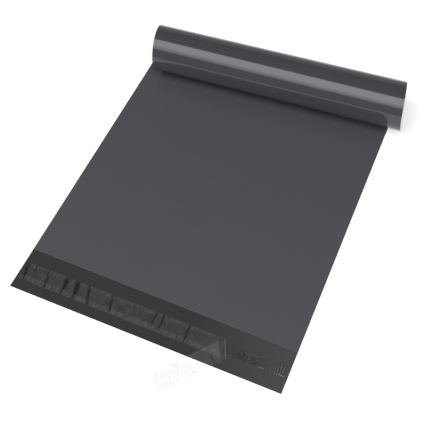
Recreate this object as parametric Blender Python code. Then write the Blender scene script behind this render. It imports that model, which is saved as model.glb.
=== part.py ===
"""A poly mailer: a flat film bag with a self-seal flap, its closed end curled up and over towards the mouth.

Lengths are in metres. X runs across the bag, +Y from the flap to the closed end, +Z up, and the bag lies on Z = 0.
Until the last step the flap's front left corner is at X = 0, Y = 0. Then the whole object is moved so that the
middle of its footprint is over the origin.

The bag is one web of film. Its back panel lies underneath and runs on past the mouth as the flap. It is folded
over at the closed end, and the front panel comes back over it as far as the mouth. Both sides are welded.
"""

import math

import bmesh
import bpy
import numpy as np

# Bag
BAG_WIDTH = 0.280
BODY_LENGTH = 0.445
FLAP_LENGTH = 0.0455
FILM = 0.00006
POCKET_GAP = 0.00004
SIDE_WELD = 0.005
BOTTOM_FOLD = 0.001

# Curl of the closed end. Its radius is that at the left edge, and the taper is what it gains for each metre of axis
CURLED_LENGTH = 0.1673
CURL_RADIUS = 0.0252
CURL_TAPER = 0.0065
CURL_PITCH = 0.0011
CURL_SKEW = math.radians(4.26)
CURL_STEP = math.radians(7.5)

# Adhesive on the inner face of the flap
ADHESIVE_WIDTH = 0.0115
ADHESIVE_THICKNESS = 0.00004
ADHESIVE_FROM_EDGE = 0.0160
ADHESIVE_END_MARGIN = 0.002

# Release liner over the adhesive. It stands out further in front of it, as an edge to peel it by
LINER_WIDTH = 0.0194
LINER_LENGTH = 0.290
LINER_THICKNESS = 0.00005
LINER_START = 0.0030
LINER_LIFT_EDGE = 0.0050
PEELED_LENGTH = 0.0760
PEEL_ANGLE = math.radians(-65)
PEEL_RADIUS = 0.0007
TAIL_DROP_START = 0.0025
TAIL_DROP_END = -0.0080

# Room between pieces that rest on each other
SEAT_GAP = 0.0003

# Number of columns of faces across a panel and across the liner, and of steps along the liner
PANEL_COLUMNS = 4
LINER_COLUMNS = 8
FOLD_STEPS = 10
TAIL_STEPS = 34

# Colours
OUTER_GREY = (0.083, 0.081, 0.091, 1)
ADHESIVE_GREY = (0.070, 0.070, 0.070, 1)
LINER_GREY = (0.60, 0.60, 0.62, 1)

# Heights of the four faces of the bag's film above the table, counted upwards
UNDERSIDE, POCKET_FLOOR, POCKET_ROOF, TOP = range(4)
HEIGHTS = [0, FILM, FILM + POCKET_GAP, 2 * FILM + POCKET_GAP]

FULL_LENGTH = FLAP_LENGTH + BODY_LENGTH


def material(name, colour, roughness, alpha=1.0):
    """A plain Principled material."""
    new = bpy.data.materials.new(name)
    new.use_nodes = True
    shader = new.node_tree.nodes["Principled BSDF"]
    shader.inputs["Base Color"].default_value = colour
    shader.inputs["Roughness"].default_value = roughness
    shader.inputs["Metallic"].default_value = 0
    shader.inputs["Alpha"].default_value = alpha
    return new


def add_object(name, mesh, look):
    """Turns a bmesh into an object with its faces pointing out, smooth except at its sharp edges."""
    bmesh.ops.recalc_face_normals(mesh, faces=mesh.faces)
    data = bpy.data.meshes.new(name)
    mesh.to_mesh(data)
    mesh.free()
    data.shade_smooth()
    data.set_sharp_from_angle(angle=math.radians(30))
    data.materials.append(look)
    piece = bpy.data.objects.new(name, data)
    bpy.context.collection.objects.link(piece)
    return piece


def curl_profile(arc, height):
    """A point of the curl's section, for a length of film past the start of the curl and a height in the film.

    The radius of curvature shrinks in proportion to the arc, which makes a logarithmic spiral. It starts level, so
    the curl joins the flat panel smoothly, and it closes by CURL_PITCH in a turn, so its end never meets the panel.
    """
    closing = CURL_PITCH / (2 * math.pi * CURL_RADIUS)
    turn = -math.log(1 - closing * arc / CURL_RADIUS) / closing
    shrink = math.exp(-closing * turn)
    scale = CURL_RADIUS / (1 + closing**2)
    forward = scale * (shrink * (math.sin(turn) - closing * math.cos(turn)) + closing)
    rise = scale * (1 - shrink * (math.cos(turn) + closing * math.sin(turn)))
    return forward - height * math.sin(turn), rise + height * math.cos(turn)


def laid(across, along, height):
    """Where a point of the flat bag goes once its closed end is curled into a slender cone, skewed to the bag.

    Film bends without stretching. The cone's tip lies far to the left, on the line where the curl starts. A point
    keeps its distance from the tip, and its angle to that line becomes the arc of the curl's section. The section
    grows in proportion to the distance from the tip.
    """
    start = FULL_LENGTH - CURLED_LENGTH
    tip = CURL_RADIUS / CURL_TAPER
    on_axis = across * math.cos(CURL_SKEW) + (along - start) * math.sin(CURL_SKEW)
    off_axis = (along - start) * math.cos(CURL_SKEW) - across * math.sin(CURL_SKEW)
    if off_axis > 0:
        reach = math.hypot(tip + on_axis, off_axis)
        growth = reach / tip
        forward, rise = curl_profile(tip * math.atan2(off_axis, tip + on_axis), height / growth)
        on_axis = reach - tip
        off_axis = growth * forward
        height = growth * rise
    x = on_axis * math.cos(CURL_SKEW) - off_axis * math.sin(CURL_SKEW)
    y = on_axis * math.sin(CURL_SKEW) + off_axis * math.cos(CURL_SKEW)
    return x, start + y, height


def bag_columns():
    """Distances across the bag: its edges, the inner edges of the side welds, and even steps between them."""
    inner = np.linspace(SIDE_WELD, BAG_WIDTH - SIDE_WELD, PANEL_COLUMNS + 1)
    return [0.0, *inner, BAG_WIDTH]


def bag_rows():
    """Lines across the bag, each as its distance along the left edge and its rise for each metre across.

    In the curl they run parallel to its axis, so that each strip of film between two lines is flat. Near the
    closed end they fan out until the pocket's end is square to the sides.
    """
    pocket_end = FULL_LENGTH - BOTTOM_FOLD
    steps = math.ceil(CURLED_LENGTH / (CURL_RADIUS * CURL_STEP))
    curl = np.linspace(FULL_LENGTH - CURLED_LENGTH, pocket_end, steps + 1)
    rows = [(0.0, 0.0), (FLAP_LENGTH, 0.0)]
    rows += [(left, min(math.tan(CURL_SKEW), (pocket_end - left) / (2 * BAG_WIDTH))) for left in curl]
    return [*rows, (FULL_LENGTH, 0.0)]


def mailer_bag(look):
    """The bag: flap, pocket between the two panels, side welds and bottom fold, as one body of film."""
    columns = bag_columns()
    rows = bag_rows()
    mouth = 1
    closed = len(rows) - 1
    pocket_end = closed - 1
    right = len(columns) - 1
    mesh = bmesh.new()
    corners = {}

    def corner(layer, row, column):
        if (layer, row, column) not in corners:
            left, rise = rows[row]
            across = columns[column]
            place = laid(across, left + rise * across, HEIGHTS[layer])
            corners[layer, row, column] = mesh.verts.new(place)
        return corners[layer, row, column]

    def fan(*keys):
        """A flat face as triangles that share its first corner."""
        points = [corner(*key) for key in keys]
        for second, third in zip(points[1:], points[2:]):
            mesh.faces.new((points[0], second, third))

    def panel(layer, first_row, last_row, first_column, last_column):
        """One face of the film, between two lines and two columns."""
        for row in range(first_row, last_row):
            for column in range(first_column, last_column):
                fan(
                    (layer, row, column),
                    (layer, row, column + 1),
                    (layer, row + 1, column + 1),
                    (layer, row + 1, column),
                )

    # The faces of the film
    panel(UNDERSIDE, 0, closed, 0, right)
    panel(POCKET_FLOOR, 0, mouth, 0, right)
    panel(POCKET_FLOOR, mouth, pocket_end, 1, right - 1)
    panel(POCKET_ROOF, mouth, pocket_end, 1, right - 1)
    panel(TOP, mouth, closed, 0, right)

    # The cut edges along both sides: one ply at the flap, two welded plies along the body
    for column in (0, right):
        fan((UNDERSIDE, 0, column), (UNDERSIDE, mouth, column), (POCKET_FLOOR, mouth, column), (POCKET_FLOOR, 0, column))
        fan(
            (TOP, mouth + 1, column),
            (TOP, mouth, column),
            (POCKET_FLOOR, mouth, column),
            (UNDERSIDE, mouth, column),
            (UNDERSIDE, mouth + 1, column),
        )
        for row in range(mouth + 1, closed):
            fan((UNDERSIDE, row, column), (UNDERSIDE, row + 1, column), (TOP, row + 1, column), (TOP, row, column))

    # The inner walls of the pocket at both welds
    for column in (1, right - 1):
        for row in range(mouth, pocket_end):
            fan(
                (POCKET_FLOOR, row, column),
                (POCKET_FLOOR, row + 1, column),
                (POCKET_ROOF, row + 1, column),
                (POCKET_ROOF, row, column),
            )

    # The flap's front edge, the pocket's end and the bottom fold
    for column in range(right):
        for row, low, high in ((0, UNDERSIDE, POCKET_FLOOR), (closed, UNDERSIDE, TOP)):
            fan((low, row, column), (low, row, column + 1), (high, row, column + 1), (high, row, column))
    for column in range(1, right - 1):
        for row, low, high in ((pocket_end, POCKET_FLOOR, POCKET_ROOF), (mouth, POCKET_ROOF, TOP)):
            fan((low, row, column), (low, row, column + 1), (high, row, column + 1), (high, row, column))

    # The lip of the front panel where it is welded, at both ends of the mouth
    for outer, inner in ((0, 1), (right, right - 1)):
        fan(
            (TOP, mouth, outer),
            (POCKET_FLOOR, mouth, outer),
            (POCKET_FLOOR, mouth, inner),
            (POCKET_ROOF, mouth, inner),
            (TOP, mouth, inner),
        )
    return add_object("mailer_bag", mesh, look)


def adhesive_strip(look):
    """The hot-melt strip across the flap, seated on the inner face of the flap."""
    base = FILM + SEAT_GAP
    low = (ADHESIVE_END_MARGIN, ADHESIVE_FROM_EDGE, base)
    high = (BAG_WIDTH - ADHESIVE_END_MARGIN, ADHESIVE_FROM_EDGE + ADHESIVE_WIDTH, base + ADHESIVE_THICKNESS)
    mesh = bmesh.new()
    cube = bmesh.ops.create_cube(mesh, size=1)["verts"]
    for point in cube:
        point.co = [low[k] if point.co[k] < 0 else high[k] for k in range(3)]
    return add_object("adhesive_strip", mesh, look)


def eased(fraction):
    """A smooth step from 0 to 1."""
    fraction = min(max(fraction, 0), 1)
    return fraction * fraction * (3 - 2 * fraction)


def liner_point(along, across, height):
    """Where a point of the flat liner goes: flat on the strip, turned back over the slanted fold, down to the table.

    across runs from the liner's lower edge, along from its left end, and height is counted from its adhesive side.
    """
    flat_x = LINER_START + along
    flat_y = ADHESIVE_FROM_EDGE - LINER_LIFT_EDGE + across
    base = FILM + SEAT_GAP + ADHESIVE_THICKNESS + SEAT_GAP
    past_fold = (along - fold_at(across)) * -math.sin(PEEL_ANGLE)
    if past_fold <= 0:
        return flat_x, flat_y, base + height
    normal_x, normal_y = -math.sin(PEEL_ANGLE), math.cos(PEEL_ANGLE)
    half_turn = math.pi * PEEL_RADIUS
    if past_fold < half_turn:
        turn = past_fold / PEEL_RADIUS
        shift = (PEEL_RADIUS - height) * math.sin(turn) - past_fold
        z = base + PEEL_RADIUS - (PEEL_RADIUS - height) * math.cos(turn)
        return flat_x + shift * normal_x, flat_y + shift * normal_y, z
    shift = half_turn - 2 * past_fold
    x, y = flat_x + shift * normal_x, flat_y + shift * normal_y
    lifted = base + 2 * PEEL_RADIUS - LINER_THICKNESS
    under = lifted * eased((y - TAIL_DROP_END) / (TAIL_DROP_START - TAIL_DROP_END))
    return x, y, under + LINER_THICKNESS - height


def fold_at(across):
    """How far along the liner its slanted fold lies, at a distance across it."""
    middle = LINER_LENGTH - PEELED_LENGTH
    return middle + (across - LINER_WIDTH / 2) / math.tan(PEEL_ANGLE)


def release_liner(look):
    """The release liner: its right end is peeled, folded back on a slant and hangs over the flap's front edge."""
    arc = math.pi * PEEL_RADIUS / -math.sin(PEEL_ANGLE)
    middle = LINER_LENGTH - PEELED_LENGTH
    stations = [(0.0, 0.0)]
    stations += [(at, 1.0) for at in np.linspace(middle, middle + arc, FOLD_STEPS + 1)]
    tail = np.linspace(middle + arc, LINER_LENGTH, TAIL_STEPS + 1)[1:]
    stations += [(at, (LINER_LENGTH - at) / (LINER_LENGTH - middle - arc)) for at in tail]
    across = np.linspace(0, LINER_WIDTH, LINER_COLUMNS + 1)
    mesh = bmesh.new()
    faces = []
    for height in (0, LINER_THICKNESS):
        grid = []
        for at, slant in stations:
            alongs = [at + slant * (fold_at(v) - middle) for v in across]
            grid.append([mesh.verts.new(liner_point(u, v, height)) for u, v in zip(alongs, across)])
        faces.append(grid)
        for low, high in zip(grid, grid[1:]):
            for k in range(LINER_COLUMNS):
                mesh.faces.new((low[k], low[k + 1], high[k + 1]))
                mesh.faces.new((low[k], high[k + 1], high[k]))
    under, over = faces
    for k in (0, LINER_COLUMNS):
        for row in range(len(stations) - 1):
            mesh.faces.new((under[row][k], under[row + 1][k], over[row + 1][k]))
            mesh.faces.new((under[row][k], over[row + 1][k], over[row][k]))
    for row in (0, -1):
        for k in range(LINER_COLUMNS):
            mesh.faces.new((under[row][k], under[row][k + 1], over[row][k + 1]))
            mesh.faces.new((under[row][k], over[row][k + 1], over[row][k]))
    return add_object("release_liner", mesh, look)


def centre_footprint(pieces):
    """Moves the pieces together so that the middle of their footprint is over the origin."""
    points = np.array([point.co for piece in pieces for point in piece.data.vertices])
    middle = (points.min(axis=0) + points.max(axis=0)) / 2
    for piece in pieces:
        piece.location = (-middle[0], -middle[1], 0)


def main():
    for old in list(bpy.data.objects):
        bpy.data.objects.remove(old)
    film = material("grey film", OUTER_GREY, 0.35)
    adhesive = material("clear adhesive", ADHESIVE_GREY, 0.25)
    liner = material("release liner", LINER_GREY, 0.30, alpha=0.35)
    pieces = [mailer_bag(film), adhesive_strip(adhesive), release_liner(liner)]
    centre_footprint(pieces)


main()
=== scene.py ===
# %% [markdown]
# A poly mailer is a bag of thin plastic film. One long web of film is folded over at the bottom, welded
# along both sides and left open at the mouth, where the back panel runs on as a flap. The flap carries a
# strip of hot-melt adhesive under a clear release liner. Here the mailer lies flat, its closed end curls up
# and over towards the mouth, and the liner is peeled from the right, folded back and hanging over the front
# edge.
#
# The first cell loads the fixed frame: the solid model that carries the sizes. All below is laid over it.

# %% Load the frame
import math

import bpy
import numpy as np
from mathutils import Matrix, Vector


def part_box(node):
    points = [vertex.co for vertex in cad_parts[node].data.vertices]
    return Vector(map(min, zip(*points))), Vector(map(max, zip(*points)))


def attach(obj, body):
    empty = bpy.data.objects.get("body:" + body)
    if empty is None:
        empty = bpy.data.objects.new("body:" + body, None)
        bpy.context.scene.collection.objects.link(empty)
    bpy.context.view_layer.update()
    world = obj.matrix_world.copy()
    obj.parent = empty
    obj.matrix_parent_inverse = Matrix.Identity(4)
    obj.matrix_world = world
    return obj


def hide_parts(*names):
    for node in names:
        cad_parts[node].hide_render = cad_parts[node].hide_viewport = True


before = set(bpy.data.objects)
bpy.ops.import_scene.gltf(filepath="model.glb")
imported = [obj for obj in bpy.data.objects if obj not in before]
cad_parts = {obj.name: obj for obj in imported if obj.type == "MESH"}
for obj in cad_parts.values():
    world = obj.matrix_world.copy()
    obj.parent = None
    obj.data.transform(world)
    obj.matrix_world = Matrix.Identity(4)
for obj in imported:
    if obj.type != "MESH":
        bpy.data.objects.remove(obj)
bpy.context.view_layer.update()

flap_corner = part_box("mailer_bag")[0]
print("nodes:", sorted(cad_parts), "flap corner:", tuple(round(c, 4) for c in flap_corner))

# %% [markdown]
# All sizes are in metres. Points of the film are first worked out on the flat bag, with the flap's front
# left corner at zero, and are carried to the frame at the very end. So the sizes below are those that a bag
# maker would quote, and the curl and the peel are sizes of how it lies.

# %% Sizes of the bag and of its curl
MM = 0.001
BAG_WIDTH = 280 * MM
BODY_LENGTH = 445 * MM
FLAP_LENGTH = 45.5 * MM
FILM = 0.06 * MM
SIDE_WELD = 5 * MM
FULL_LENGTH = FLAP_LENGTH + BODY_LENGTH
WEB_LENGTH = FULL_LENGTH + BODY_LENGTH
CURLED_LENGTH = 167.3 * MM
CURL_START = FULL_LENGTH - CURLED_LENGTH
CURL_RADIUS = 25.2 * MM
CURL_TAPER = 0.0065
CURL_PITCH = 1.1 * MM
CURL_SKEW = math.radians(4.26)
SLUMP_AT_LEFT = 1.8 * MM
SLUMP_AT_RIGHT = 0.1 * MM
SLUMP_TURN = math.radians(285)
SLUMP_SPREAD = math.radians(60)
print(f"film web {BAG_WIDTH / MM:.0f} by {WEB_LENGTH / MM:.1f} mm, gauge {FILM / MM:.2f} mm")

# %% [markdown]
# The camera comes first, because the size of every detail is judged through it. It looks down at about 56
# degrees from the front right, with a long lens, as for a catalogue picture.

# %% Camera
FOCAL_PIXELS = 828
FRAME_PIXELS = 430
SENSOR_MM = 36
NEAREST_SEEN = 10 * MM
CAMERA_FROM_CORNER = Vector((333.35 * MM, -276.0 * MM, 705.37 * MM))
CAMERA_AZIMUTH = math.radians(23.1)
CAMERA_ELEVATION = math.radians(56.5)


def add_object(name, data):
    """Links a new object with this data to the scene."""
    new = bpy.data.objects.new(name, data)
    bpy.context.collection.objects.link(new)
    return new


camera = add_object("camera", bpy.data.cameras.new("camera"))
camera.data.sensor_width = SENSOR_MM
camera.data.lens = FOCAL_PIXELS / FRAME_PIXELS * SENSOR_MM
camera.data.clip_start = NEAREST_SEEN
camera.location = Vector((flap_corner.x, flap_corner.y, 0)) + CAMERA_FROM_CORNER
looking = Vector((
    -math.sin(CAMERA_AZIMUTH) * math.cos(CAMERA_ELEVATION),
    math.cos(CAMERA_AZIMUTH) * math.cos(CAMERA_ELEVATION),
    -math.sin(CAMERA_ELEVATION),
))
camera.rotation_euler = looking.to_track_quat("-Z", "Y").to_euler()
bpy.context.scene.camera = camera
print("camera at", tuple(round(c, 3) for c in camera.location), "lens", round(camera.data.lens, 1), "mm")

# %% [markdown]
# The floor is pale and plain, and it lies a hair below the film so that the two never share a plane. It
# glows a little by itself, as a light table does, and so it comes out white all over.

# %% Floor
FLOOR_GAP = 0.3 * MM
FLOOR_HALF = 4.0
FLOOR_WHITE = 0.90
FLOOR_ROUGHNESS = 0.8
FLOOR_GLOW = 0.25


def principled(name):
    """A new material, its node tree and its Principled shader."""
    new = bpy.data.materials.new(name)
    new.use_nodes = True
    return new, new.node_tree, new.node_tree.nodes["Principled BSDF"]


floor_look, _, shader = principled("pale floor")
shader.inputs["Base Color"].default_value = (FLOOR_WHITE, FLOOR_WHITE, FLOOR_WHITE, 1)
shader.inputs["Roughness"].default_value = FLOOR_ROUGHNESS
shader.inputs["Emission Color"].default_value = (1, 1, 1, 1)
shader.inputs["Emission Strength"].default_value = FLOOR_GLOW
square = [(-1, -1), (1, -1), (1, 1), (-1, 1)]
floor_points = [(x * FLOOR_HALF, y * FLOOR_HALF, -FLOOR_GAP) for x, y in square]
floor_mesh = bpy.data.meshes.new("floor")
floor_mesh.from_pydata(floor_points, [], [(0, 1, 2, 3)])
floor_mesh.materials.append(floor_look)
floor = add_object("floor", floor_mesh)
print("floor", 2 * FLOOR_HALF, "m wide,", round(FLOOR_GAP / MM, 1), "mm below the film")

# %% [markdown]
# Glossy film shows its surroundings, so the light is made as an object with a place and a size. One wide
# softbox, faintly bluish, hangs over the front of the table. The curl mirrors it as the broad bright band
# along its upper front, and the band's ends stay crisp because the film is smooth. The thin bright line low
# on the curl is the pale floor in front of the flap.

# %% Softbox
SOFTBOX_AIM = Vector((-0.02, 0.17, 0.025))
SOFTBOX_DISTANCE = 1.7
SOFTBOX_ELEVATION = math.radians(57.5)
SOFTBOX_WIDTH = 2.6
SOFTBOX_DEPTH = 1.45
SOFTBOX_RADIANCE = 3.75
SOFTBOX_COLOUR = (0.990, 0.985, 1.025)

softbox = bpy.data.lights.new("softbox", "AREA")
softbox.shape = "RECTANGLE"
softbox.size = SOFTBOX_WIDTH
softbox.size_y = SOFTBOX_DEPTH
softbox.color = SOFTBOX_COLOUR
softbox.energy = SOFTBOX_RADIANCE * math.pi * SOFTBOX_WIDTH * SOFTBOX_DEPTH
softbox_lamp = add_object("softbox", softbox)
to_softbox = Vector((0, -math.cos(SOFTBOX_ELEVATION), math.sin(SOFTBOX_ELEVATION)))
softbox_lamp.location = SOFTBOX_AIM + to_softbox * SOFTBOX_DISTANCE
softbox_lamp.rotation_euler = to_softbox.to_track_quat("Z", "Y").to_euler()
bpy.context.scene.view_settings.view_transform = "Standard"
print("softbox at", tuple(round(c, 2) for c in softbox_lamp.location), "power", round(softbox.energy), "W")

# %% [markdown]
# The room, the lamp and the materials are all trees of nodes. A few helpers keep them short to read: they
# add a node, carry a value from one range to another, or do one step of arithmetic.

# %% Helpers for node trees
def node(tree, kind, **settings):
    """Adds a node and sets its properties."""
    new = tree.nodes.new(kind)
    for key, value in settings.items():
        setattr(new, key, value)
    return new


def feed(tree, socket, value):
    """Gives an input its value: a link from another socket, or a constant."""
    if isinstance(value, bpy.types.NodeSocket):
        tree.links.new(value, socket)
    else:
        socket.default_value = value


def ramp(tree, value, start, end, low=0.0, high=1.0, smooth=True):
    """Carries a value from one range to another, held at both ends. Either result can be a socket."""
    new = node(tree, "ShaderNodeMapRange", interpolation_type="SMOOTHSTEP" if smooth else "LINEAR")
    tree.links.new(value, new.inputs["Value"])
    for name, given in (("From Min", start), ("From Max", end), ("To Min", low), ("To Max", high)):
        feed(tree, new.inputs[name], given)
    return new.outputs["Result"]


def math_node(tree, operation, first, second):
    """A Math node; each input is a socket or a number."""
    new = node(tree, "ShaderNodeMath", operation=operation)
    for socket, value in zip(new.inputs, (first, second)):
        feed(tree, socket, value)
    return new.outputs[0]


def split_vector(tree, vector):
    """The three parts of a vector socket, by the names X, Y and Z."""
    new = node(tree, "ShaderNodeSeparateXYZ")
    tree.links.new(vector, new.inputs[0])
    return new.outputs


print("helpers: node, feed, ramp, math_node and split_vector")

# %% [markdown]
# The rest of the room is a dim grey that grows paler towards the horizon, most of all at the back, as a
# white sweep behind a table does. It is what gives the curl its pale rim along the top. Two low pale walls
# at the sides light the film under the curl, where the softbox doesn't reach. All of it is a world shader
# that reads the direction of each ray: X runs to the sides, Y to the back and Z up.

# %% The room round the table
ROOM_HIGH = 0.15
ROOM_LOW_FRONT = 0.26
ROOM_LOW_BACK = 0.52
ROOM_SIDES = 0.75
FRONT_TO_BACK = (-0.2, 0.2)
LOW_TO_HIGH = (0.35, 0.65)
TO_THE_SIDES = (0.55, 0.8)
WALLS_END = (0.45, 0.6)

room = bpy.data.worlds.new("room")
room.use_nodes = True
tree = room.node_tree
way = split_vector(tree, node(tree, "ShaderNodeTexCoord").outputs["Generated"])
low_part = ramp(tree, way["Y"], *FRONT_TO_BACK, ROOM_LOW_FRONT, ROOM_LOW_BACK)
grey = ramp(tree, way["Z"], *LOW_TO_HIGH, low_part, ROOM_HIGH)
at_sides = ramp(tree, math_node(tree, "ABSOLUTE", way["X"], 0), *TO_THE_SIDES)
at_sides = math_node(tree, "MULTIPLY", at_sides, ramp(tree, way["Z"], *WALLS_END, 1, 0))
grey = ramp(tree, at_sides, 0, 1, grey, ROOM_SIDES, smooth=False)
tree.links.new(grey, tree.nodes["Background"].inputs["Color"])
bpy.context.scene.world = room
print("room radiance", ROOM_HIGH, "above,", ROOM_LOW_BACK, "low at the back")

# %% [markdown]
# A real softbox isn't even. This one is dimmer towards its lower front edge, so the band on the curl is
# crisp on its upper side and dies away on its lower one. A lamp has nodes too: Geometry's Parametric output
# runs from 0 to 1 over its face, and a ramp of that sets the strength.

# %% The softbox fades towards its front edge
SOFTBOX_FADE = 0.45
SOFTBOX_DIMMEST = 0.50
SOFTBOX_BRIGHTEST = 1.10

softbox.use_nodes = True
tree = softbox.node_tree
on_softbox = split_vector(tree, node(tree, "ShaderNodeNewGeometry").outputs["Parametric"])
strength = ramp(tree, on_softbox["Y"], 0, SOFTBOX_FADE, SOFTBOX_DIMMEST, SOFTBOX_BRIGHTEST)
tree.links.new(strength, tree.nodes["Emission"].inputs["Strength"])
print("softbox strength from", SOFTBOX_DIMMEST, "to", SOFTBOX_BRIGHTEST)

# %% [markdown]
# Film bends but hardly stretches, so every point of it keeps its distances along the sheet. That makes the
# curl a matter of one formula: the distance past the line where the curl starts becomes an arc, and the
# distance along the curl's axis stays. The arc's radius shrinks a little with each turn, so the end tucks
# in above the panel. The axis is skewed four degrees to the bag, as film curls when it is not rolled quite
# square.

# %% The bending of the film
def curl_section(arc, height, slump):
    """A logarithmic spiral that starts level, from the arc length past its start and the height inside.

    turn = -ln(1 - c * arc / R) / c and the radius is R * exp(-c * turn), with c the closing for each radian.
    The slump moves the low front outward: a raised cosine of the turn, full at SLUMP_TURN.
    """
    closing = CURL_PITCH / (2 * math.pi * CURL_RADIUS)
    turn = -np.log(1 - closing * arc / CURL_RADIUS) / closing
    shrink = np.exp(-closing * turn)
    scale = CURL_RADIUS / (1 + closing**2)
    forward = scale * (shrink * (np.sin(turn) - closing * np.cos(turn)) + closing)
    rise = scale * (1 - shrink * (np.cos(turn) + closing * np.sin(turn)))
    away = np.clip((turn - SLUMP_TURN) / SLUMP_SPREAD, -1, 1)
    height = height - slump * (1 + np.cos(math.pi * away)) / 2
    return forward - height * np.sin(turn), rise + height * np.cos(turn)


def laid(across, along, height):
    """Carries points of the flat bag to the frame: flat up to the curl's start, then round a slender cone.

    A point keeps its distance from the cone's tip, which lies far to the left on the line where the curl
    starts. Its angle to that line, times the tip's distance, is the arc along the spiral section, and the
    section grows in proportion to the distance from the tip. The section slumps a little towards the mouth,
    most at the left.
    """
    cos, sin = math.cos(CURL_SKEW), math.sin(CURL_SKEW)
    tip = CURL_RADIUS / CURL_TAPER
    beyond = along - CURL_START
    on_axis = across * cos + beyond * sin
    off_axis = beyond * cos - across * sin
    reach = np.hypot(tip + on_axis, off_axis)
    growth = reach / tip
    arc = tip * np.arctan2(np.maximum(off_axis, 0), tip + on_axis)
    slump = SLUMP_AT_LEFT + (SLUMP_AT_RIGHT - SLUMP_AT_LEFT) * on_axis / BAG_WIDTH
    forward, rise = curl_section(arc, height / growth, slump)
    curled = off_axis > 0
    on_axis = np.where(curled, reach - tip, on_axis)
    off_axis = np.where(curled, growth * forward, off_axis)
    z = np.where(curled, growth * rise, height)
    x = flap_corner.x + on_axis * cos - off_axis * sin
    y = flap_corner.y + CURL_START + on_axis * sin + off_axis * cos
    return np.stack([x, y, z], axis=-1)


quarter_turn = np.array([CURL_START + CURLED_LENGTH / 4])
print("a quarter round, the curl's left end is at", laid(np.array([0.0]), quarter_turn, 0.0).round(3))

# %% [markdown]
# Each piece of film is a thin closed shell: a grid of points for each face, and a rim of faces that joins
# them. One helper makes them all. It also keeps the place on the flat sheet as a UV map in metres, so that
# every pattern in the materials follows the film round its bends, and it stores named values for the
# materials.

# %% Thin shells from two grids
SHARP_ANGLE = math.radians(50)


def sheet_faces(rows, columns):
    """Squares between neighbouring points of a grid, as indices into its points."""
    corner = (np.arange(rows - 1)[:, None] * columns + np.arange(columns - 1)).reshape(-1, 1)
    return corner + np.array([0, 1, columns + 1, columns])


def rim_loop(rows, columns):
    """The points round the edge of a grid, in order."""
    grid = np.arange(rows * columns).reshape(rows, columns)
    return np.concatenate([grid[0, :-1], grid[:-1, -1], grid[-1, :0:-1], grid[:0:-1, 0]])


def thin_shell(name, lower, upper, flat_uv, values):
    """A closed shell between two equal grids of points; upper faces the way that rows cross columns.

    Each of the values is a grid of numbers, or a pair of them for the lower and the upper face.
    """
    rows, columns = lower.shape[:2]
    count = rows * columns
    up = sheet_faces(rows, columns)
    loop = rim_loop(rows, columns)
    after = np.roll(loop, -1)
    rim = np.stack([loop, after, after + count, loop + count], axis=1)
    faces = np.concatenate([up + count, up[:, ::-1], rim])
    points = np.concatenate([lower.reshape(-1, 3), upper.reshape(-1, 3)])
    mesh = bpy.data.meshes.new(name)
    mesh.from_pydata(points.tolist(), [], faces.tolist())
    mesh.shade_smooth()
    mesh.set_sharp_from_angle(angle=SHARP_ANGLE)
    uv = np.concatenate([flat_uv.reshape(-1, 2)] * 2)
    loops = np.empty(len(mesh.loops), dtype=np.int32)
    mesh.loops.foreach_get("vertex_index", loops)
    mesh.uv_layers.new(name="flat").data.foreach_set("uv", uv[loops].ravel())
    for key, value in values.items():
        both = np.concatenate(np.broadcast_to(value, (2, rows, columns))).astype(np.float32)
        mesh.attributes.new(key, "FLOAT", "POINT").data.foreach_set("value", both.ravel())
    print(f"{name}: {rows} by {columns} points on each face, {len(faces)} faces")
    return add_object(name, mesh)


# %% [markdown]
# No real film is quite even. Two helpers make every soft edge and every soft wave below. Each wave has its
# own seed, so a change to one leaves the others as they are.

# %% Soft edges and soft waves
WAVE_COUNT = 9
WAVE_LENGTHS = (0.6, 1.8)


def eased(fraction):
    """A smooth step: 3 t squared minus 2 t cubed, with t held between 0 and 1."""
    fraction = np.clip(fraction, 0, 1)
    return fraction * fraction * (3 - 2 * fraction)


def ripples(across, along, length, seed):
    """Soft random unevenness from about -1 to 1: a sum of plane waves.

    Each wave is the sine of the distance in a random direction, with a random phase and a random length.
    """
    draw = np.random.default_rng(seed)
    total = np.zeros(np.broadcast(across, along).shape)
    for _ in range(WAVE_COUNT):
        angle, phase = draw.uniform(0, 2 * math.pi, 2)
        wave = 2 * math.pi / (length * draw.uniform(*WAVE_LENGTHS))
        total += np.sin(wave * (across * math.cos(angle) + along * math.sin(angle)) + phase)
    return total / math.sqrt(WAVE_COUNT * 2)


print("half way, the smooth step is", eased(0.5))

# %% [markdown]
# The bag is one web of film, so it is one surface. Its rows start at the flap's front edge, run up the back
# panel to the closed end, turn over in a tiny fold and come back down the front panel to the mouth. The
# rows are close where the film bends. One more row lies just behind the mouth, so that its cut edge can be
# given a painted highlight: a paler grey for the light that the cut edge catches.

# %% The rows of the web
FLAP_ROW_STEP = 1.5 * MM
PANEL_ROW_STEP = 4 * MM
CURL_ROW_STEP = 1.9 * MM
COLUMN_STEP = 3.5 * MM
WELD_COLUMNS = (0, 0.35, 0.8, 1.0, 1.2, 1.7)
INNER_FROM = 2.3 * SIDE_WELD
FOLD_ROWS = 6
CLOSED_GAP = 0.03 * MM
CUT_EDGE = 0.9 * MM


def stretch(first, last, step):
    """Even steps from first to last, without last."""
    return np.linspace(first, last, max(2, round(abs(last - first) / step)), endpoint=False)


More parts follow.
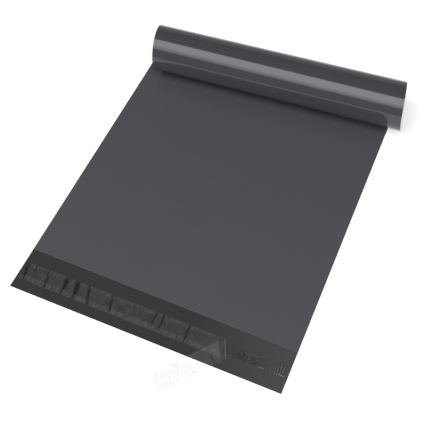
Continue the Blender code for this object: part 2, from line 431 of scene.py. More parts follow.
fold_centre = FULL_LENGTH - FILM - CLOSED_GAP / 2
back_rows = np.concatenate([
    stretch(0, FLAP_LENGTH, FLAP_ROW_STEP),
    stretch(FLAP_LENGTH, CURL_START, PANEL_ROW_STEP),
    stretch(CURL_START, fold_centre, CURL_ROW_STEP),
])
front_rows = back_rows[back_rows > FLAP_LENGTH + FLAP_ROW_STEP][::-1]
front_rows = np.append(front_rows, [FLAP_LENGTH + CUT_EDGE, FLAP_LENGTH])
row_along = np.concatenate([back_rows, np.full(FOLD_ROWS + 1, fold_centre), front_rows])
row_turn = np.concatenate([
    np.zeros(len(back_rows)),
    np.linspace(0, math.pi, FOLD_ROWS + 1),
    np.full(len(front_rows), math.pi),
])
weld_columns = np.array(WELD_COLUMNS) * SIDE_WELD
columns = np.concatenate([
    weld_columns,
    stretch(INNER_FROM, BAG_WIDTH - INNER_FROM, COLUMN_STEP),
    [BAG_WIDTH - INNER_FROM],
    BAG_WIDTH - weld_columns[::-1],
])
print(len(row_along), "rows of film by", len(columns), "columns")

# %% [markdown]
# The outer face is grey and the inner face nearly black, because mailer film is extruded in two layers. The
# panels touch at the welds, and a little air keeps them apart between, so the front panel is gently
# pillowed. The flap's free edge waves a little, and the mouth was not cut quite square.

# %% The web of film
PUFF = 0.8 * MM
PUFF_AT_MOUTH = 0.25
PUFF_FROM_SIDE = 45 * MM
PUFF_FROM_MOUTH = 60 * MM
PUFF_FROM_CURL = 90 * MM
PUFF_INTO_CURL = 5 * MM
PUFF_EVENNESS = 0.62
PUFF_WAVE = 110 * MM
FLAP_LIFT = 0.18 * MM
FLAP_LIFT_REACH = 30 * MM
FLAP_WAVE = 90 * MM
MOUTH_SLANT = 1.9 * MM
MOUTH_SLANT_REACH = 60 * MM


def air_gap(across, along):
    """How far apart the panels are: nothing at the welds and in the curl, most in the middle of the bag."""
    from_side = np.minimum(across, BAG_WIDTH - across)
    sideways = eased((from_side - SIDE_WELD) / PUFF_FROM_SIDE)
    lengthways = PUFF_AT_MOUTH + (1 - PUFF_AT_MOUTH) * eased((along - FLAP_LENGTH) / PUFF_FROM_MOUTH)
    before_curl = eased((CURL_START - along + PUFF_INTO_CURL) / PUFF_FROM_CURL)
    unevenness = PUFF_EVENNESS + (1 - PUFF_EVENNESS) * ripples(across, along, PUFF_WAVE, seed=4)
    return CLOSED_GAP + PUFF * sideways * lengthways * before_curl * unevenness


def flap_lift(across, along):
    """Slight waves of the flap's free edge, off the table."""
    waves = (1 + ripples(across, along, FLAP_WAVE, seed=8)) / 2
    return FLAP_LIFT * np.clip(eased(1 - along / FLAP_LIFT_REACH) * waves, 0, None)


across, along = np.meshgrid(columns, row_along)
turn = np.broadcast_to(row_turn[:, None], across.shape)
near_mouth = eased(1 - (along - FLAP_LENGTH) / MOUTH_SLANT_REACH) * (turn > math.pi / 2)
along = along - MOUTH_SLANT * across / BAG_WIDTH * near_mouth
gap = np.where((turn > 0) & (turn < math.pi), CLOSED_GAP, air_gap(across, along))
lift = flap_lift(across, along)
thickness = 2 * FILM + gap
outer = laid(across, along + thickness / 2 * np.sin(turn), lift + thickness / 2 * (1 - np.cos(turn)))
inner = laid(across, along + gap / 2 * np.sin(turn), lift + thickness / 2 - gap / 2 * np.cos(turn))
web_distance = np.where(turn < math.pi / 2, along, 2 * FULL_LENGTH - along)
flat_uv = np.stack([across, web_distance], axis=-1)
nowhere = np.zeros(across.shape)
# The last row, just behind the mouth, carries the painted highlight of the cut edge.
cut_highlight_row = nowhere.copy()
cut_highlight_row[-1] = 1
film_values = {"inner_face": (nowhere, nowhere + 1), "cut_edge_highlight": cut_highlight_row}
mailer_film = thin_shell("mailer_film", outer, inner, flat_uv, film_values)

# %% [markdown]
# The adhesive is a thin clear bead with a tacky skin. Under the liner it hardly shows. To the right of the
# peel it lies bare, and there it is smeared where the liner was pulled away: loops, a few threads, a fan of
# drag lines, some pulled lines beside the fold, and two lips along its front edge, made bright by painted
# glints. Each kind of mark is made of waves that are seen through a window with soft margins. Windows are
# given as start, end and soft margin in millimetres, across the bag or along it, and a slant as its slope
# and the place where it starts.

# %% Tools for marks
def window(value, start, end, soft):
    """One between start and end, eased to zero inside a soft margin at both; all in millimetres."""
    value = value / MM
    return eased((value - start) / soft) * eased((end - value) / soft)


def aslant(x, y, slope, start):
    """Distance along the flap from a line that climbs by a slope past its start."""
    return y - slope * (x - start)


def beside_line(x, y, top, foot):
    """Distance from the line through two points of the flap, in millimetres, positive towards larger x."""
    run = np.subtract(foot, top)
    return ((x / MM - top[0]) * -run[1] + (y / MM - top[1]) * run[0]) / math.hypot(*run)


def soft_line(distance, width, power=2):
    """How strongly a line shows beside its middle: exp(-(distance / width) ** power)."""
    return np.exp(-((distance / width) ** power))


def stripes(distance, pitch, shift=0):
    """Even stripes from -1 to 1: the cosine of the distance across them, one turn for each pitch."""
    return np.cos(2 * math.pi * distance / pitch + shift)


print("beside its middle, a soft line shows", soft_line(1, 2).round(2), "at half its width")

# %% [markdown]
# The loops are made like contour lines on a map: the cosine of a soft random height repeats each time that
# the height has grown by one step, and so it draws closed rings. The fan's stripes lean over by less and
# less from left to right, because the liner was drawn off at a turning angle.

# %% Marks in the bare adhesive
LOOPS_ACROSS = (222, 253, 4)
LOOPS_ALONG = (16, 25, 3)
LOOPS_SLANT = (-0.12, 232 * MM)
LOOP_SIZE = 7.5 * MM
LOOP_STEPS = 7
LOOPS_WEAKEN_FROM = 238 * MM
LOOPS_WEAKEN_OVER = 8 * MM
LOOPS_WEAKENED = 0.45
LOOP_STRENGTH = 2.2
LOOP_CREST = 0.3
LOOP_GROUND = 0.2
THREADS_ACROSS = (233, 257, 5)
THREADS_ALONG = (20.8, 27.0, 1.5)
THREADS_SLANT = (0.25, 237 * MM)
THREAD_PLACE = 22.9 * MM
THREAD_PITCH = 1.9 * MM
THREAD_STRENGTH = 1.17
FAN_ACROSS = (252, 278, 4)
FAN_ALONG = (8, 22, 3)
FAN_SLANT = (0.44, 261 * MM)
FAN_LEAN = 0.42
FAN_LEANS_FROM = 258 * MM
FAN_LEANS_OVER = 16 * MM
FAN_LEVEL = 20 * MM
FAN_PITCH = 2.3 * MM
FAN_WAVE = 9 * MM
FAN_STRENGTH = 1.4
FOLD_TOP = (213.1, 29.5)
FOLD_FOOT = (223.1, 10.4)
PULL_PITCH = 2.1
PULL_PLACE = 4.0
PULL_SPREAD = 2.2
LEFT_LIP = (248, 259.5, 5)
RIGHT_LIP = (263.5, 279.5, 5)
LIP_PLACE = 0.45 * MM
LIP_WIDTH = 0.5 * MM


def smears(x, y):
    """Marks in the bare adhesive, below 0 where it is thin and dark and above 0 where it is drawn up.

    The loops are the cosine of soft noise. The threads, the fan and the pulled lines are cosines of a
    distance across them, and the fan's distance grows with the place along the flap, times its lean.
    """
    loops = np.cos(LOOP_STEPS * ripples(x, y, LOOP_SIZE, seed=22))
    loops = loops * (1 - LOOPS_WEAKENED * eased((x - LOOPS_WEAKEN_FROM) / LOOPS_WEAKEN_OVER))
    loops = loops * window(x, *LOOPS_ACROSS) * window(aslant(x, y, *LOOPS_SLANT), *LOOPS_ALONG)
    up_threads = aslant(x, y, *THREADS_SLANT)
    threads = stripes(up_threads - THREAD_PLACE, THREAD_PITCH)
    threads = threads * window(x, *THREADS_ACROSS) * window(up_threads, *THREADS_ALONG)
    lean = FAN_LEAN * (1 - eased((x - FAN_LEANS_FROM) / FAN_LEANS_OVER))
    fan = stripes(x + lean * (y - FAN_LEVEL), FAN_PITCH, 2 * ripples(x, y, FAN_WAVE, seed=24))
    fan = fan * window(x, *FAN_ACROSS) * window(aslant(x, y, *FAN_SLANT), *FAN_ALONG)
    from_fold = beside_line(x, y, FOLD_TOP, FOLD_FOOT)
    pulls = stripes(from_fold, PULL_PITCH) * soft_line(from_fold - PULL_PLACE, PULL_SPREAD)
    loops = LOOP_STRENGTH * np.minimum(loops, LOOP_CREST) - LOOP_GROUND * (loops != 0)
    return loops + THREAD_STRENGTH * threads + FAN_STRENGTH * fan + pulls


def lips(x, up):
    """Two lips of adhesive drawn up along the front edge, from 0 to 1; it also sets their painted glints."""
    return (window(x, *LEFT_LIP) + window(x, *RIGHT_LIP)) * soft_line(up - LIP_PLACE, LIP_WIDTH)


print("in the middle of a lip:", lips(np.array([254 * MM]), LIP_PLACE).round(2))

# %% [markdown]
# The bead's top face is a height field over the flap: rounded at both sides, raised where it was drawn up,
# and sunk where it was pulled thin. The same marks are kept as a value that tints it, and the lips add a
# painted glint to that value. Its points are close together where it lies bare, and wide apart under the
# liner.

# %% The adhesive strip
ADHESIVE_WIDTH = 11.5 * MM
ADHESIVE_FROM_EDGE = 16.0 * MM
ADHESIVE_END_MARGIN = 2 * MM
ADHESIVE_THICKNESS = 0.05 * MM
ADHESIVE_SUNK = 0.01 * MM
ADHESIVE_WANDER = 0.25 * MM
WANDER_WAVE = 30 * MM
BARE_FROM = 216 * MM
COVERED_STEP = 1.4 * MM
BARE_STEP = 0.35 * MM
BEAD_ROWS = 34
BEAD_SHOULDER = 1.2 * MM
BEAD_LEAST = 0.02
SMEAR_RELIEF = 0.6
LIP_HEIGHT = 0.15 * MM
# Painted glint: the tint that makes the two lips bright.
LIP_GLINT_TINT = 2.4

strip_across = np.concatenate([
    stretch(ADHESIVE_END_MARGIN, BARE_FROM, COVERED_STEP),
    stretch(BARE_FROM, BAG_WIDTH - ADHESIVE_END_MARGIN, BARE_STEP),
])
across, up = np.meshgrid(strip_across, np.linspace(0, ADHESIVE_WIDTH, BEAD_ROWS))
marks = smears(across, up + ADHESIVE_FROM_EDGE)
edge_lips = lips(across, up)
bead = np.sqrt(np.clip(np.minimum(up, ADHESIVE_WIDTH - up) / BEAD_SHOULDER, BEAD_LEAST, 1))
skin = ADHESIVE_THICKNESS * bead * (1 + SMEAR_RELIEF * np.clip(marks, -1, 1)) + LIP_HEIGHT * edge_lips
deck = FILM + flap_lift(across, up + ADHESIVE_FROM_EDGE)
along = ADHESIVE_FROM_EDGE + up + ADHESIVE_WANDER * ripples(across, 0 * up, WANDER_WAVE, seed=23)
lower = laid(across, along, deck - ADHESIVE_SUNK)
upper = laid(across, along, deck + skin)
flat_uv = np.stack([across, up], axis=-1)
# The smears and the lips' painted glints are stored as one value.
adhesive_strip = thin_shell("adhesive_bead", lower, upper, flat_uv, {"smear_and_glint": marks + LIP_GLINT_TINT * edge_lips})

# %% [markdown]
# The release liner is a strip of thin clear film. Most of it still sits on the adhesive, with cross creases
# where it was wound and handled. At the right it turns back over itself on a slant, runs down over the
# flap's front edge and ends on the table.

# %% Sizes of the liner and its creases
LINER_WIDTH = 19.4 * MM
LINER_LENGTH = 290 * MM
LINER_THICKNESS = 0.05 * MM
LINER_CLEARANCE = 0.02 * MM
LINER_START = 3 * MM
LINER_LIFT_EDGE = 5 * MM
LINER_FRONT = ADHESIVE_FROM_EDGE - LINER_LIFT_EDGE
PEELED_LENGTH = 76 * MM
UNPEELED_LENGTH = LINER_LENGTH - PEELED_LENGTH
PEEL_ANGLE = math.radians(-65)
PEEL_RADIUS = 0.55 * MM
HALF_TURN = math.pi * PEEL_RADIUS
CREASE_WANDER = 0.6 * MM
CREASE_WAVE = 14 * MM
CREASE_FADE = 0.15

# Each crease: its place at the liner's top edge and at its front edge, its width at both,
# how far down the liner it runs, and how dark it is
CREASES = [
    (4.0, 8.2, 3.4, 3.0, 1.00, 0.9),
    (13.2, 14.2, 2.2, 1.8, 0.36, 0.7),
    (27.1, 30.6, 2.0, 2.2, 1.00, 0.9),
    (48.0, 49.0, 4.4, 2.4, 1.00, 1.0),
    (59.2, 61.8, 5.0, 3.2, 1.00, 1.0),
    (71.2, 77.6, 2.2, 3.2, 1.00, 1.0),
    (96.2, 101.8, 2.8, 2.2, 0.85, 1.0),
    (107.8, 108.4, 1.8, 1.8, 1.00, 0.12),
    (143.4, 142.9, 1.8, 1.5, 0.66, 0.9),
    (150.6, 152.7, 2.2, 1.6, 0.82, 0.8),
    (177.0, 179.0, 2.0, 1.8, 1.00, 0.95),
]


def fold_at(across):
    """How far along the liner its slanted fold lies, at a distance across it."""
    return UNPEELED_LENGTH + (across - LINER_WIDTH / 2) / math.tan(PEEL_ANGLE)


def crease_marks(along, across):
    """How strongly each point is creased, from 0 to 1: one flat-topped line for each crease."""
    down = 1 - across / LINER_WIDTH
    marks = np.zeros(along.shape)
    for top, bottom, top_width, bottom_width, reach, strength in CREASES:
        place = (top + (bottom - top) * down) * MM - LINER_START
        place = place + CREASE_WANDER * ripples(across, place, CREASE_WAVE, seed=35)
        width = (top_width + (bottom_width - top_width) * down) * MM / 2
        fade = eased((reach - down) / CREASE_FADE + 0.5)
        marks = np.maximum(marks, strength * fade * soft_line(along - place, width, power=4))
    return marks


print(len(CREASES), "creases; the fold runs from", (fold_at(np.array([0, LINER_WIDTH])) / MM).round(1), "mm")

# %% [markdown]
# The bend is worked out like the curl: the distance past the slanted fold line becomes half a turn of a
# small cylinder, and then the strip carries on, reflected in that line. The stiff strip springs up before
# the fold, its front edge stands clear of the flap, and its tail waves and lifts at the tip where nothing
# holds it.

# %% Shape of the liner
PEEL_LIFT = 0.9 * MM
PEEL_RUN = 13 * MM
FOLD_KEPT = 0.35
CREASE_RIDGE = 0.04 * MM
CRINKLE = 0.05 * MM
CRINKLE_WAVE = 9 * MM
RAISED_EDGE = 0.12 * MM
RAISED_EDGE_WIDTH = 2.5 * MM
TAIL_DROP_START = 2.5 * MM
TAIL_DROP_END = -9 * MM
TAIL_LIFT = 0.35 * MM
TAIL_WAVE = 28 * MM
TAIL_WAVES_FROM = 20 * MM
TIP_LIFT = 1.2 * MM
TIP_LENGTH = 9 * MM


def liner_shape(along, across, height):
    """Carries points of the flat liner to the frame: raised to the fold, turned back and down to the table.

    Also returns how creased each point is, and how far past the fold line it lies.
    """
    past = (along - fold_at(across)) * -math.sin(PEEL_ANGLE)
    turn = np.clip(past / PEEL_RADIUS, 0, math.pi)
    shift = np.where(past > HALF_TURN, HALF_TURN - 2 * past, (PEEL_RADIUS - height) * np.sin(turn) - past)
    shift = np.where(past > 0, shift, 0)
    x = LINER_START + along - math.sin(PEEL_ANGLE) * shift
    y = LINER_FRONT + across + math.cos(PEEL_ANGLE) * shift
    before = past < 0
    back = np.clip(past - HALF_TURN, 0, None)
    sinking = eased(1 - back / (2 * PEEL_RUN))
    # The crease marks raise small ridges and also set the painted shade of the creases.
    marks = crease_marks(along, across) * before
    lifted = FILM + ADHESIVE_THICKNESS + LINER_CLEARANCE + CREASE_RIDGE * marks
    lifted = lifted + PEEL_LIFT * np.where(before, eased(1 + past / PEEL_RUN), sinking)
    lifted = lifted + PEEL_RADIUS * (1 - np.cos(turn)) * (FOLD_KEPT + (1 - FOLD_KEPT) * sinking)
    lifted = lifted + CRINKLE * (1 + ripples(along, across, CRINKLE_WAVE, seed=31)) * before
    lifted = lifted + RAISED_EDGE * eased(1 - across / RAISED_EDGE_WIDTH) * before
    drop = eased((y - TAIL_DROP_END) / (TAIL_DROP_START - TAIL_DROP_END))
    waves = TAIL_LIFT * (1 + ripples(x, y, TAIL_WAVE, seed=32)) * eased(back / TAIL_WAVES_FROM)
    tip = TIP_LIFT * eased((along - LINER_LENGTH + TIP_LENGTH) / TIP_LENGTH) ** 2
    z = np.where(past > HALF_TURN, lifted * drop + waves + tip, lifted) + height * np.cos(turn)
    return np.stack([flap_corner.x + x, flap_corner.y + y, z], axis=-1), marks, past


print("the fold stands", round((PEEL_LIFT + 2 * PEEL_RADIUS) / MM, 1), "mm over the adhesive")

# %% [markdown]
# A slanted fold is only sharp if the lines of the grid run along it. So the lines across the liner are
# square at its start, lean over until they are parallel to the fold, and stand up again towards the far
# end.

# %% The grid of the liner
LINER_STEP = 0.5 * MM
BEND_LINES = 12
TAIL_LINES = 130
LINER_POINTS = 40
LEAN_FROM = 60 * MM
LEAN_OVER = 40 * MM


def liner_lines():
    """Lines across the liner as place and lean: 0 is square to the liner and 1 is parallel to the fold."""
    bend_end = UNPEELED_LENGTH + HALF_TURN / -math.sin(PEEL_ANGLE)
    places = np.concatenate([
        stretch(0, UNPEELED_LENGTH, LINER_STEP),
        np.linspace(UNPEELED_LENGTH, bend_end, BEND_LINES, endpoint=False),
        np.linspace(bend_end, LINER_LENGTH, TAIL_LINES),
    ])
    near = eased((places - UNPEELED_LENGTH + LEAN_FROM) / LEAN_OVER)
    far = (LINER_LENGTH - places) / (LINER_LENGTH - bend_end)
    return places, np.where(places > bend_end, far, near)


places, leans = liner_lines()
across = np.broadcast_to(np.linspace(0, LINER_WIDTH, LINER_POINTS), (len(places), LINER_POINTS))
along = places[:, None] + leans[:, None] * (fold_at(across) - UNPEELED_LENGTH)
lower, creased, past = liner_shape(along, across, 0.0)
upper, _, _ = liner_shape(along, across, LINER_THICKNESS)
print(len(places), "lines across the liner")

# %% [markdown]
# Clear film shows mostly by its flaws, so each point of the liner carries values for the material. The
# first is haze, the film's own veil. It clears where the adhesive wets the film and where the film stands
# free, and the tail on the table keeps some of it, or else it would vanish there.

# %% Haze of the liner
TOP_HAZE = 0.034
FRONT_LIP_HAZE = 0.008
FRONT_LIP_PAST = 0.5 * MM
WET_CLEARING = 0.022
WET_BEFORE_FOLD = 0.8 * PEEL_RUN
WET_EVENNESS = 0.65
WET_WAVE = 14 * MM
BAND_TOP = (204.0, 24.0)
BAND_FOOT = (215.9, 5.3)
LIFTED_CLEARING = 0.85
LIFTED_FROM = 2.5
LIFTED_OVER = 3
TABLE_HAZE = 0.125
TABLE_FROM = -3 * MM
TABLE_OVER = 4 * MM

x = lower[..., 0] - flap_corner.x
y = lower[..., 1] - flap_corner.y
turned_back = past > HALF_TURN
wet = window(across - LINER_LIFT_EDGE, 0, ADHESIVE_WIDTH / MM, 1) * (past < -WET_BEFORE_FOLD)
wet = wet * (WET_EVENNESS + (1 - WET_EVENNESS) * ripples(along, across, WET_WAVE, seed=33))
front_lip = eased((LINER_LIFT_EDGE + FRONT_LIP_PAST - across) / MM) * (past < 0)
right_of_band = beside_line(x, y, BAND_TOP, BAND_FOOT)
lifted_clear = eased((right_of_band - LIFTED_FROM) / LIFTED_OVER)
haze = (TOP_HAZE + FRONT_LIP_HAZE * front_lip - WET_CLEARING * wet) * (1 - LIFTED_CLEARING * lifted_clear)
haze = haze + TABLE_HAZE * turned_back * eased((TABLE_FROM - y) / TABLE_OVER)
print("haze from", haze.min().round(3), "to", haze.max().round(3))

# %% [markdown]
# The other values are for creases, painted highlights and crinkles. Creases are painted dark, a painted
# shade, and one pinch in the turned part is painted as a dark crease too. Painted highlights stand for the
# light that the film catches where it bends sharply: along the bend, along the edge of the part that is
# turned back, in a streaky band across it and in soft lobes beside it. Crinkled says how mottled the haze
# is: fully before the fold, and hardly at all on the tail.

# %% Painted shade in the creases and painted highlights on the folds of the liner
BAND_STRENGTH = 0.155
BAND_MIDDLE = -0.4
BAND_WIDTH = 2.7
BAND_ALONG = (3, 26, 9)
BAND_STREAKS = 0.45
STREAK_SIZE = 1.8 * MM
STREAK_SQUEEZE = 0.12
EDGE_STRENGTH = 0.6
EDGE_WIDTH = 0.7 * MM
EDGE_ALONG = (-2, 26, 2)
EDGE_FADED = 0.75
EDGE_FADES_FROM = 199 * MM
EDGE_FADES_OVER = 8 * MM
LOBE_STRENGTH = 0.05
LOBE_WAVE = 7 * MM
BEND_STRENGTH = 1.3
BEND_PLACE = 1.0 * MM
BEND_WIDTH = 0.7 * MM
BEND_ALONG = (8, 32, 6)
PINCH_TOP = (206.8, 9.8)
PINCH_FOOT = (214.1, 3.3)
PINCH_STRENGTH = 0.5
PINCH_WIDTH = 0.9
PINCH_ALONG = (-1, 11.5, 3)
TAIL_CRINKLED = 0.15

# Painted highlights: the bend, the turned part's edge, a streaky band and soft lobes stand for light on the
# fold.
drawn = 1 + BAND_STREAKS * ripples(right_of_band * MM, STREAK_SQUEEZE * y, STREAK_SIZE, seed=36)
band = BAND_STRENGTH * drawn * window(y, *BAND_ALONG)
band = band * soft_line(right_of_band - BAND_MIDDLE, BAND_WIDTH, power=4)
edge_line = EDGE_STRENGTH * soft_line(LINER_WIDTH - across, EDGE_WIDTH, power=4) * window(y, *EDGE_ALONG)
edge_line = edge_line * (1 - EDGE_FADED * eased((x - EDGE_FADES_FROM) / EDGE_FADES_OVER))
lobes = LOBE_STRENGTH * (1 + ripples(x, y, LOBE_WAVE, seed=34)) * lifted_clear
bend_line = BEND_STRENGTH * soft_line(past - BEND_PLACE, BEND_WIDTH) * window(y, *BEND_ALONG)
# The pinch is painted shade as well: a dark line in the turned part.
from_pinch = beside_line(x, y, PINCH_TOP, PINCH_FOOT)
pinch = PINCH_STRENGTH * soft_line(from_pinch, PINCH_WIDTH, power=4) * window(y, *PINCH_ALONG)
values = {
    "haze": haze,
    "crease": np.maximum(creased, pinch * turned_back),
    "fold_highlight": bend_line + turned_back * (band + edge_line + lobes),
    "crinkled": np.where(turned_back, TAIL_CRINKLED, 1.0),
}
values = {key: value[:, ::-1] for key, value in values.items()}
flat_uv = np.stack([along, across], axis=-1)
liner_film = thin_shell("liner_film", lower[:, ::-1], upper[:, ::-1], flat_uv[:, ::-1], values)

# %% [markdown]
# The film's finish is in a node group that both the bag and the bead use: faint streaks along the web from
# the extruder's die, faint lines across it, soft blotches, and a very fine unevenness of the surface. It
# reads the flat UV map, in metres, so that the streaks follow the film. It puts out a colour, a roughness
# and a normal. Each grain below is the number of waves in a metre across the web and along it, and the
# detail of the noise.

# %% The node group for extruded film
STREAK_GRAIN = ((420, 7, 1), 3)
BLOTCH_GRAIN = ((16, 11, 1), 2)
CROSS_GRAIN = ((4, 420, 1), 3)
SKIN_GRAIN = ((900, 900, 1), 2)
GAUGE_GRAIN = ((60, 25, 1), 2)
STREAK_SHARE = 0.3
BLOTCH_SHARE = 0.3
CROSS_SHARE = 0.4
DULLING = 0.6
GAUGE_RELIEF = 4.0
CROSS_RELIEF = 1.5
RELIEF_DEPTH = 0.02 * MM


def stretched_noise(tree, place, scale, detail):
    """Noise on the flat sheet, with its own scale across and along the web."""
    mapping = node(tree, "ShaderNodeMapping")
    mapping.inputs["Scale"].default_value = scale
    noise = node(tree, "ShaderNodeTexNoise")
    noise.inputs["Scale"].default_value = 1
    noise.inputs["Detail"].default_value = detail
    tree.links.new(place, mapping.inputs["Vector"])
    tree.links.new(mapping.outputs[0], noise.inputs["Vector"])
    return noise.outputs["Fac"]


def weighted(tree, *parts):
    """The sum of some sockets, each times its weight."""
    products = [math_node(tree, "MULTIPLY", socket, weight) for socket, weight in parts]
    total = products[0]
    for product in products[1:]:
        total = math_node(tree, "ADD", total, product)
    return total


def scaled(tree, colour, factor):
    """A colour socket times a factor."""
    new = node(tree, "ShaderNodeVectorMath", operation="SCALE")
    tree.links.new(colour, new.inputs[0])
    tree.links.new(factor, new.inputs["Scale"])
    return new.outputs[0]


def film_finish_group():
    """Colour, roughness and normal of extruded film, from a base colour and how uneven it is."""
    group = bpy.data.node_groups.new("extruded film", "ShaderNodeTree")
    for name, kind, default in (
        ("Colour", "NodeSocketColor", (0.1, 0.1, 0.1, 1)),
        ("Streaks", "NodeSocketFloat", 0.05),
        ("Gloss", "NodeSocketFloat", 0.2),
        ("Unevenness", "NodeSocketFloat", 0.2),
    ):
        group.interface.new_socket(name, in_out="INPUT", socket_type=kind).default_value = default
    group.interface.new_socket("Colour", in_out="OUTPUT", socket_type="NodeSocketColor")
    group.interface.new_socket("Roughness", in_out="OUTPUT", socket_type="NodeSocketFloat")
    group.interface.new_socket("Normal", in_out="OUTPUT", socket_type="NodeSocketVector")
    given = node(group, "NodeGroupInput").outputs
    result = node(group, "NodeGroupOutput").inputs
    place = node(group, "ShaderNodeUVMap", uv_map="flat").outputs[0]
    streaks = stretched_noise(group, place, *STREAK_GRAIN)
    blotches = stretched_noise(group, place, *BLOTCH_GRAIN)
    cross_lines = stretched_noise(group, place, *CROSS_GRAIN)
    marks = weighted(group, (streaks, STREAK_SHARE), (blotches, BLOTCH_SHARE), (cross_lines, CROSS_SHARE))
    swing = math_node(group, "MULTIPLY", math_node(group, "SUBTRACT", marks, 0.5), given["Streaks"])
    tint = scaled(group, given["Colour"], math_node(group, "ADD", swing, 1.0))
    group.links.new(tint, result["Colour"])
    dulled = math_node(group, "ADD", given["Gloss"], math_node(group, "MULTIPLY", swing, DULLING))
    group.links.new(dulled, result["Roughness"])
    skin = stretched_noise(group, place, *SKIN_GRAIN)
    gauge = stretched_noise(group, place, *GAUGE_GRAIN)
    waves = weighted(group, (gauge, GAUGE_RELIEF), (cross_lines, CROSS_RELIEF))
    bump = node(group, "ShaderNodeBump")
    bump.inputs["Distance"].default_value = RELIEF_DEPTH
    group.links.new(given["Unevenness"], bump.inputs["Strength"])
    group.links.new(math_node(group, "ADD", skin, waves), bump.inputs["Height"])
    group.links.new(bump.outputs[0], result["Normal"])
    return group


film_finish = film_finish_group()
print("node group:", film_finish.name, [item.name for item in film_finish.interface.items_tree])

# %% [markdown]
# Mailer film is a matt-looking grey with a clear gloss over it. Its base colour is darker than it looks,
# because some of what the eye gets is the room mirrored in the surface. The back panel, which is the outside
# of the curl, gets a darker grey: painted shade for the light that falls off towards the curl. The dark
# inner face uses the same finish with a near black. On the flap that face is a little paler towards the bare
# adhesive at its right end. The colour and the gloss are worked out by functions that the material is given.

# %% Colour and gloss of the film
FRONT_GREY = (0.0612, 0.0605, 0.0668, 1)
# Painted shade: the back panel, the outside of the curl, is a darker grey for the light that falls off
# there.
SHADED_BACK_GREY = (0.0440, 0.0438, 0.0488, 1)
INNER_BLACK = (0.0289, 0.0289, 0.0279, 1)
# The flap's inner face grows a paler grey towards its right end.
RIGHT_TONE_GREY = (0.0528, 0.0528, 0.0512, 1)
# Painted highlight: the cut edge's paler grey stands for the light that the edge catches.
CUT_EDGE_HIGHLIGHT_GREY = (0.086, 0.086, 0.086, 1)
RIGHT_TONE_FROM = 180 * MM
RIGHT_TONE_TO = 275 * MM
FOLD_BLEND = 2 * MM
FILM_GLOSS = 0.10
SLACK_GLOSS = 0.30


def attribute(tree, name):
    """The value of a stored attribute."""
    return node(tree, "ShaderNodeAttribute", attribute_name=name).outputs["Fac"]


def mixed(tree, factor, first, second):
    """A blend of two colours, each a socket or a colour."""
    new = node(tree, "ShaderNodeMix", data_type="RGBA")
    sockets = new.inputs
    tree.links.new(factor, sockets["Factor"])
    feed(tree, sockets[6], first)
    feed(tree, sockets[7], second)
    return new.outputs[2]


def web_place(tree):
    """The place on the flat web: across as X and along as Y, in metres."""
    return split_vector(tree, node(tree, "ShaderNodeUVMap", uv_map="flat").outputs[0])


def flap_colour(tree):
    """The dark inner face, paler towards the right end of the flap."""
    rightwards = ramp(tree, web_place(tree)["X"], RIGHT_TONE_FROM, RIGHT_TONE_TO, smooth=False)
    return mixed(tree, rightwards, INNER_BLACK, RIGHT_TONE_GREY)


def front_panel(tree, back, front):
    """Carries a value from the back panel's to the front panel's, at the bottom fold."""
    return ramp(tree, web_place(tree)["Y"], FULL_LENGTH - FOLD_BLEND, FULL_LENGTH + FOLD_BLEND, back, front)


def web_colour(tree):
    """Grey, with painted shade on the back panel and a painted highlight at the cut edge; near black inside.
    """
    outer = mixed(tree, front_panel(tree, 0, 1), SHADED_BACK_GREY, FRONT_GREY)
    outer = mixed(tree, attribute(tree, "cut_edge_highlight"), outer, CUT_EDGE_HIGHLIGHT_GREY)
    return mixed(tree, attribute(tree, "inner_face"), outer, flap_colour(tree))


def web_gloss(tree):
    """Clear on the film drawn round the curl, and soft on the slack front panel with its tiny waves."""
    return front_panel(tree, FILM_GLOSS, SLACK_GLOSS)


print("front panel", FRONT_GREY[:3], "inner face", INNER_BLACK[:3])

# %% [markdown]
# The bare adhesive is clear, so it shows the flap's colour, and its smears make that darker or paler; the
# lips' painted glints make it paler still. Both materials then get their finish from the node group, each
# with its own values.

# %% Materials of the film and the bead
FILM_STREAKS = 0.20
FILM_UNEVENNESS = 0.15
BEAD_UNEVENNESS = 0.5
BEAD_TINT = 0.93
SMEAR_TINT = 0.42
WHOLE_GLOSS = 0.12
SMEARED_GLOSS = 0.35


def smeared_colour(tree):
    """The flap's colour through the bead, darker and paler with its smears, and with the lips' painted
    glints.
    """
    strength = math_node(tree, "MULTIPLY", attribute(tree, "smear_and_glint"), SMEAR_TINT)
    return scaled(tree, flap_colour(tree), math_node(tree, "ADD", strength, BEAD_TINT))


def bead_gloss(tree):
    """The bead is smooth where it is whole and dull where it is smeared."""
    smeared = math_node(tree, "ABSOLUTE", attribute(tree, "smear_and_glint"), 0)
    return ramp(tree, smeared, 0, 1, WHOLE_GLOSS, SMEARED_GLOSS)


def finished_film(name, colour_of, gloss_of, unevenness):
    """A Principled material whose colour and gloss go through the film finish."""
    new, tree, shader = principled(name)
    finish = node(tree, "ShaderNodeGroup")
    finish.node_tree = film_finish
    finish.inputs["Streaks"].default_value = FILM_STREAKS
    finish.inputs["Unevenness"].default_value = unevenness
    tree.links.new(colour_of(tree), finish.inputs["Colour"])
    tree.links.new(gloss_of(tree), finish.inputs["Gloss"])
    tree.links.new(finish.outputs["Colour"], shader.inputs["Base Color"])
    tree.links.new(finish.outputs["Roughness"], shader.inputs["Roughness"])
    tree.links.new(finish.outputs["Normal"], shader.inputs["Normal"])
    return new


grey_film = finished_film("grey mailer film", web_colour, web_gloss, FILM_UNEVENNESS)
clear_bead = finished_film("bare adhesive", smeared_colour, bead_gloss, BEAD_UNEVENNESS)
mailer_film.data.materials.append(grey_film)
adhesive_strip.data.materials.append(clear_bead)
print("materials:", grey_film.name, "and", clear_bead.name)
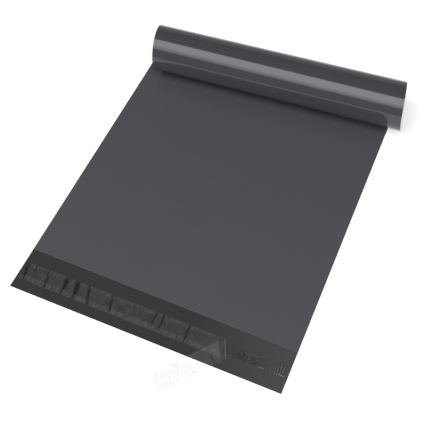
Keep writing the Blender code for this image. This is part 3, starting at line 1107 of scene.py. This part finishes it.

# %% [markdown]
# The liner is so clear that it shows mostly by what it hides. It adds a thin grey haze over the dark flap
# and almost nothing over the pale table. In the creases painted shade turns it dark, and along the sharp
# fold a painted highlight turns it white. Each of the three has its own opacity, read from the values that
# the mesh carries, and the colour is their average, weighted by opacity. Fine crinkles across the strip
# mottle the haze, as far as it is crinkled.

# %% Material of the liner
LINER_HAZE = (0.364, 0.36, 0.364, 1)
# Painted shade: the creases' dark colour and its opacity stand for the shade in them.
CREASE_SHADE_DARK = (0.003, 0.003, 0.003, 1)
FOLD_HIGHLIGHT_WHITE = (0.75, 0.75, 0.76, 1)
CREASE_SHADE_OPACITY = 0.37
FOLD_HIGHLIGHT_OPACITY = 0.05
LINER_GLOSS = 0.18
CRINKLE_GRAIN = ((560, 150, 1), 2)
MOTTLE = 4.0


def liner_material():
    """Nearly clear film: haze, painted crease shade and painted fold highlights set its colour and opacity.
    """
    new, tree, shader = principled("clear liner film")
    shader.inputs["Roughness"].default_value = LINER_GLOSS
    flat = node(tree, "ShaderNodeUVMap", uv_map="flat").outputs[0]
    crinkle = stretched_noise(tree, flat, *CRINKLE_GRAIN)
    swing = math_node(tree, "MULTIPLY", math_node(tree, "SUBTRACT", crinkle, 0.5), MOTTLE)
    mottled = math_node(tree, "ADD", math_node(tree, "MULTIPLY", swing, attribute(tree, "crinkled")), 1)
    haze = math_node(tree, "MULTIPLY", attribute(tree, "haze"), mottled)
    # Painted shade in the creases and painted highlights on the folds each get their own opacity.
    dark = math_node(tree, "MULTIPLY", attribute(tree, "crease"), CREASE_SHADE_OPACITY)
    pale = math_node(tree, "MULTIPLY", attribute(tree, "fold_highlight"), FOLD_HIGHLIGHT_OPACITY)
    marked = math_node(tree, "ADD", haze, dark)
    opacity = math_node(tree, "ADD", marked, pale)
    colour = mixed(tree, math_node(tree, "DIVIDE", dark, marked), LINER_HAZE, CREASE_SHADE_DARK)
    colour = mixed(tree, math_node(tree, "DIVIDE", pale, opacity), colour, FOLD_HIGHLIGHT_WHITE)
    tree.links.new(colour, shader.inputs["Base Color"])
    tree.links.new(opacity, shader.inputs["Alpha"])
    return new


liner_film.data.materials.append(liner_material())
print("liner material:", liner_film.data.materials[0].name)

# %% [markdown]
# Last, each piece is tied to the frame: it rides on the one body and stands for its solid, which is hidden.

# %% Tie the pieces to the frame
for piece, solid, slot in (
    (mailer_film, "mailer_bag", "grey_film"),
    (adhesive_strip, "adhesive_strip", "adhesive"),
    (liner_film, "release_liner", "liner_film"),
):
    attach(piece, "root")
    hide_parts(solid)
